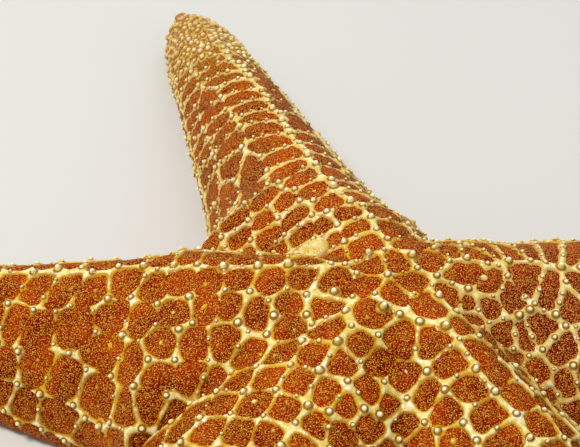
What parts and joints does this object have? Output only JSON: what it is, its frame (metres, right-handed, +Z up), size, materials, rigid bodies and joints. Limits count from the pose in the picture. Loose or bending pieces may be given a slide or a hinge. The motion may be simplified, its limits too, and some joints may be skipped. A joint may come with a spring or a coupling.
{
  "type": "netted cushion sea star",
  "caption": "Still life-size model of a netted cushion sea star: blunt bent arms round a high domed disc, knobbly net of ridges, lying flat on its underside.",
  "frame": {"origin": "middle of the mouth, on the plane that the underside rests on", "axes": "+Z up through the disc; +Y is away from the viewer of the picture, along its line of sight; +X is to that viewer's right"},
  "size_m": [0.3026, 0.2843, 0.0478],
  "materials": {
    "skin": "wet granular skin, red-brown between cream ridges",
    "arm_tip": "pale golden, close-set knobs",
    "sieve_plate": "fine grooves, matt",
    "mouth": "satin",
    "spine": "pearly tubercles and spines",
    "tube_foot": "soft, slightly translucent"
  },
  "bodies": {
    "root": {"disc": "skin", "sieve_plate": "sieve_plate", "mouth": "mouth", "arm_right_inner": "skin", "arm_right_outer": "skin", "arm_right_tip": "arm_tip", "arm_back_inner": "skin", "arm_back_outer": "skin", "arm_back_tip": "arm_tip", "arm_left_inner": "skin", "arm_left_outer": "skin", "arm_left_tip": "arm_tip", "arm_front_left_inner": "skin", "arm_front_left_outer": "skin", "arm_front_left_tip": "arm_tip", "arm_front_right_inner": "skin", "arm_front_right_outer": "skin", "arm_front_right_tip": "arm_tip"}
  },
  "joints": []
}
